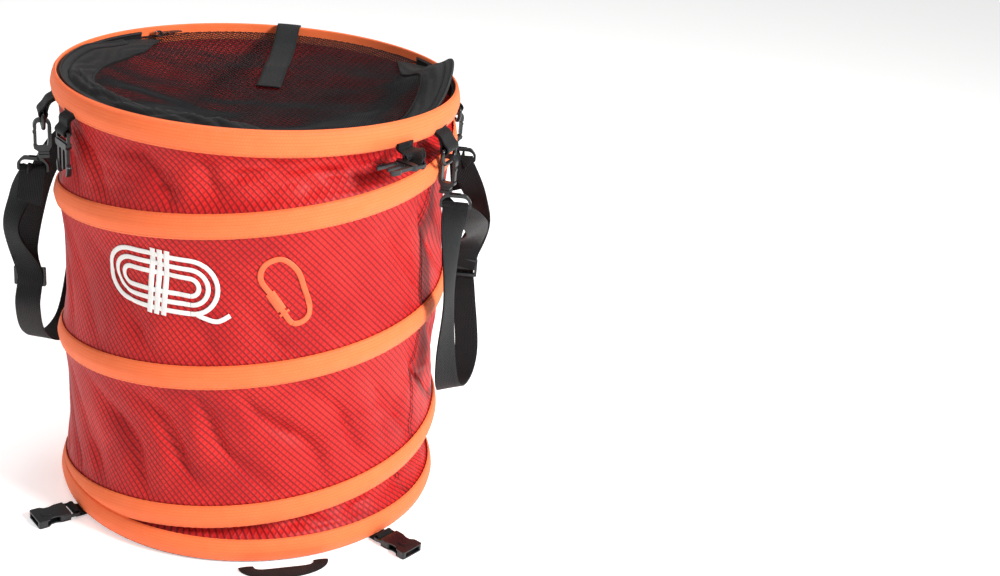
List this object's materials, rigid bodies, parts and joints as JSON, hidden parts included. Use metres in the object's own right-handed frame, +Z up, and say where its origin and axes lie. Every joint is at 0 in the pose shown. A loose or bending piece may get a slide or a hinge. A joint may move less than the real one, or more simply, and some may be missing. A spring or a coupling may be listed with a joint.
{
  "type": "rope storage bag",
  "caption": "Round collapsible rope bag: coiled spring wire in tape casings, fabric wall, zipped mesh lid, carry straps on snap hooks and compression buckles.",
  "frame": {"origin": "centre of the underside of the base panel, where the bag stands on the floor", "axes": "+Z up along the bag's axis; -Y is the front; +X is the bag's right when seen from the front"},
  "size_m": [0.4796, 0.4666, 0.4605],
  "materials": {
    "orange_tape": "woven polyester casing tape, stitched along both edges, matt with a slight sheen",
    "red_ripstop": "coated ripstop with a raised diamond grid, creased",
    "black_cloth": "plain woven polyester, matt",
    "black_mesh": "open knitted polyester net",
    "black_webbing": "flat woven polypropylene webbing",
    "zip_tape": "knitted zip tape with a coil chain",
    "black_plastic": "moulded acetal, satin",
    "black_metal": "black lacquered zip slider and pull",
    "spring_steel": "drawn spring wire, bright"
  },
  "bodies": {
    "base": {"base_panel": "black_cloth", "base_ring_wire": "spring_steel", "base_binding": "orange_tape", "wall_fabric": "red_ripstop", "coil_wire": "spring_steel", "coil_binding": "orange_tape", "side_seam_tape": "black_webbing", "base_tab_right": "black_webbing", "base_tab_left": "black_webbing", "base_tab_back": "black_webbing"},
    "top": {"rim_ring_wire": "spring_steel", "rim_binding": "orange_tape", "zip_rim_tape": "zip_tape", "lid_back_panel": "black_cloth", "rear_strap": "black_webbing", "ring_tab_right_front": "black_webbing", "ring_tab_right_back": "black_webbing", "ring_tab_left_front": "black_webbing", "ring_tab_left_back": "black_webbing", "buckle_tab_right": "black_webbing", "buckle_tab_left": "black_webbing", "buckle_tab_back": "black_webbing"},
    "lid": {"lid_mesh": "black_mesh", "lid_border": "black_cloth", "zip_lid_tape": "zip_tape", "rear_strap_end": "black_webbing"},
    "zip_slider": {"zip_slider": "black_metal"},
    "zip_pull": {"zip_pull": "black_metal"},
    "base_handle": {"base_handle": "black_webbing"},
    "strap_right": {"shoulder_strap_right": "black_webbing", "snap_hook_right_front": "black_plastic", "swivel_eye_right_front": "black_plastic", "snap_hook_right_back": "black_plastic", "swivel_eye_right_back": "black_plastic"},
    "ring_right_front": {"d_ring_right_front": "black_plastic"},
    "gate_right_front": {"hook_gate_right_front": "black_plastic"},
    "ring_right_back": {"d_ring_right_back": "black_plastic"},
    "gate_right_back": {"hook_gate_right_back": "black_plastic"},
    "slider_right": {"strap_slider_right": "black_plastic"},
    "strap_left": {"shoulder_strap_left": "black_webbing", "snap_hook_left_front": "black_plastic", "swivel_eye_left_front": "black_plastic", "snap_hook_left_back": "black_plastic", "swivel_eye_left_back": "black_plastic"},
    "ring_left_front": {"d_ring_left_front": "black_plastic"},
    "gate_left_front": {"hook_gate_left_front": "black_plastic"},
    "ring_left_back": {"d_ring_left_back": "black_plastic"},
    "gate_left_back": {"hook_gate_left_back": "black_plastic"},
    "slider_left": {"strap_slider_left": "black_plastic"},
    "male_right": {"male_buckle_right": "black_plastic"},
    "female_right": {"female_buckle_right": "black_plastic"},
    "male_left": {"male_buckle_left": "black_plastic"},
    "female_left": {"female_buckle_left": "black_plastic"},
    "male_back": {"male_buckle_back": "black_plastic"},
    "female_back": {"female_buckle_back": "black_plastic"}
  },
  "joints": [
    {"name": "collapse", "type": "slide", "parent": "base", "child": "top", "axis": [0, 0, 1], "range_m": [-0.351, 0], "stiffness_N_per_m": 80, "springref_m": 0.15, "deforming": ["wall_fabric", "coil_wire", "coil_binding", "side_seam_tape"]},
    {"name": "lid_open", "type": "hinge", "parent": "top", "child": "lid", "pos_m": [0, 0.12464, 0.4403], "axis": [-1, 0, 0], "range_deg": [0, 150]},
    {"name": "zip_travel", "type": "hinge", "parent": "top", "child": "zip_slider", "pos_m": [0, 0, 0.44], "axis": [0, 0, 1], "range_deg": [0, 255]},
    {"name": "zip_pull_flip", "type": "hinge", "parent": "zip_slider", "child": "zip_pull", "pos_m": [-0.13075, 0.13273, 0.444], "axis": [0.6483, -0.7614, 0], "range_deg": [0, 90]},
    {"name": "strap_swing_right", "type": "hinge", "parent": "top", "child": "strap_right", "pos_m": [0.19512, 0, 0.4105], "axis": [0, 1, 0], "range_deg": [-100, 0]},
    {"name": "ring_swing_right_front", "type": "hinge", "parent": "top", "child": "ring_right_front", "pos_m": [0.19512, -0.0749, 0.4105], "axis": [0.3584, 0.9336, 0], "range_deg": [-100, 0]},
    {"name": "gate_press_right_front", "type": "hinge", "parent": "strap_right", "child": "gate_right_front", "pos_m": [0.20217, -0.0776, 0.3787], "axis": [-0.3584, -0.9336, 0], "range_deg": [0, 22], "stiffness_Nm_per_rad": 0.01, "springref_deg": -11.46},
    {"name": "ring_swing_right_back", "type": "hinge", "parent": "top", "child": "ring_right_back", "pos_m": [0.19512, 0.0749, 0.4105], "axis": [-0.3584, 0.9336, 0], "range_deg": [-100, 0]},
    {"name": "gate_press_right_back", "type": "hinge", "parent": "strap_right", "child": "gate_right_back", "pos_m": [0.20217, 0.0776, 0.3787], "axis": [0.3584, -0.9336, 0], "range_deg": [0, 22], "stiffness_Nm_per_rad": 0.01, "springref_deg": -11.46},
    {"name": "slider_travel_right", "type": "slide", "parent": "strap_right", "child": "slider_right", "axis": [-0.0989, 0.1096, 0.989], "range_m": [-0.01, 0.045]},
    {"name": "strap_swing_left", "type": "hinge", "parent": "top", "child": "strap_left", "pos_m": [-0.19512, 0, 0.4105], "axis": [0, -1, 0], "range_deg": [-100, 0]},
    {"name": "ring_swing_left_front", "type": "hinge", "parent": "top", "child": "ring_left_front", "pos_m": [-0.19512, -0.0749, 0.4105], "axis": [0.3584, -0.9336, 0], "range_deg": [-100, 0]},
    {"name": "gate_press_left_front", "type": "hinge", "parent": "strap_left", "child": "gate_left_front", "pos_m": [-0.20217, -0.0776, 0.3787], "axis": [-0.3584, 0.9336, 0], "range_deg": [0, 22], "stiffness_Nm_per_rad": 0.01, "springref_deg": -11.46},
    {"name": "ring_swing_left_back", "type": "hinge", "parent": "top", "child": "ring_left_back", "pos_m": [-0.19512, 0.0749, 0.4105], "axis": [-0.3584, -0.9336, 0], "range_deg": [-100, 0]},
    {"name": "gate_press_left_back", "type": "hinge", "parent": "strap_left", "child": "gate_left_back", "pos_m": [-0.20217, 0.0776, 0.3787], "axis": [0.3584, 0.9336, 0], "range_deg": [0, 22], "stiffness_Nm_per_rad": 0.01, "springref_deg": -11.46},
    {"name": "slider_travel_left", "type": "slide", "parent": "strap_left", "child": "slider_left", "axis": [0.0989, -0.1096, 0.989], "range_m": [-0.01, 0.045]},
    {"name": "male_swing_right", "type": "hinge", "parent": "top", "child": "male_right", "pos_m": [0.16647, -0.1348, 0.4125], "axis": [0.7771, -0.6293, 0], "range_deg": [0, 95]},
    {"name": "female_swing_right", "type": "hinge", "parent": "base", "child": "female_right", "pos_m": [0.15963, -0.12927, 0.00441], "axis": [0.6293, 0.7771, 0], "range_deg": [-90, 0]},
    {"name": "male_swing_left", "type": "hinge", "parent": "top", "child": "male_left", "pos_m": [-0.15963, -0.12927, 0.4105], "axis": [0.6293, -0.7771, 0], "range_deg": [-100, 0]},
    {"name": "female_swing_left", "type": "hinge", "parent": "base", "child": "female_left", "pos_m": [-0.15963, -0.12927, 0.00441], "axis": [0.6293, -0.7771, 0], "range_deg": [-90, 0]},
    {"name": "male_swing_back", "type": "hinge", "parent": "top", "child": "male_back", "pos_m": [0, 0.20541, 0.4105], "axis": [-1, 0, 0], "range_deg": [-100, 0]},
    {"name": "female_swing_back", "type": "hinge", "parent": "base", "child": "female_back", "pos_m": [0, 0.20541, 0.00441], "axis": [-1, 0, 0], "range_deg": [-90, 0]},
    {"name": "handle_lift", "type": "hinge", "parent": "base", "child": "base_handle", "pos_m": [0.06586, -0.19128, 0.0012], "axis": [0.9455, 0.3256, 0], "range_deg": [-90, 0]}
  ],
  "couplings": [
    {"joint": "ring_swing_right_front", "follows": "strap_swing_right", "ratio": 1},
    {"joint": "ring_swing_right_back", "follows": "strap_swing_right", "ratio": 1},
    {"joint": "ring_swing_left_front", "follows": "strap_swing_left", "ratio": 1},
    {"joint": "ring_swing_left_back", "follows": "strap_swing_left", "ratio": 1}
  ]
}
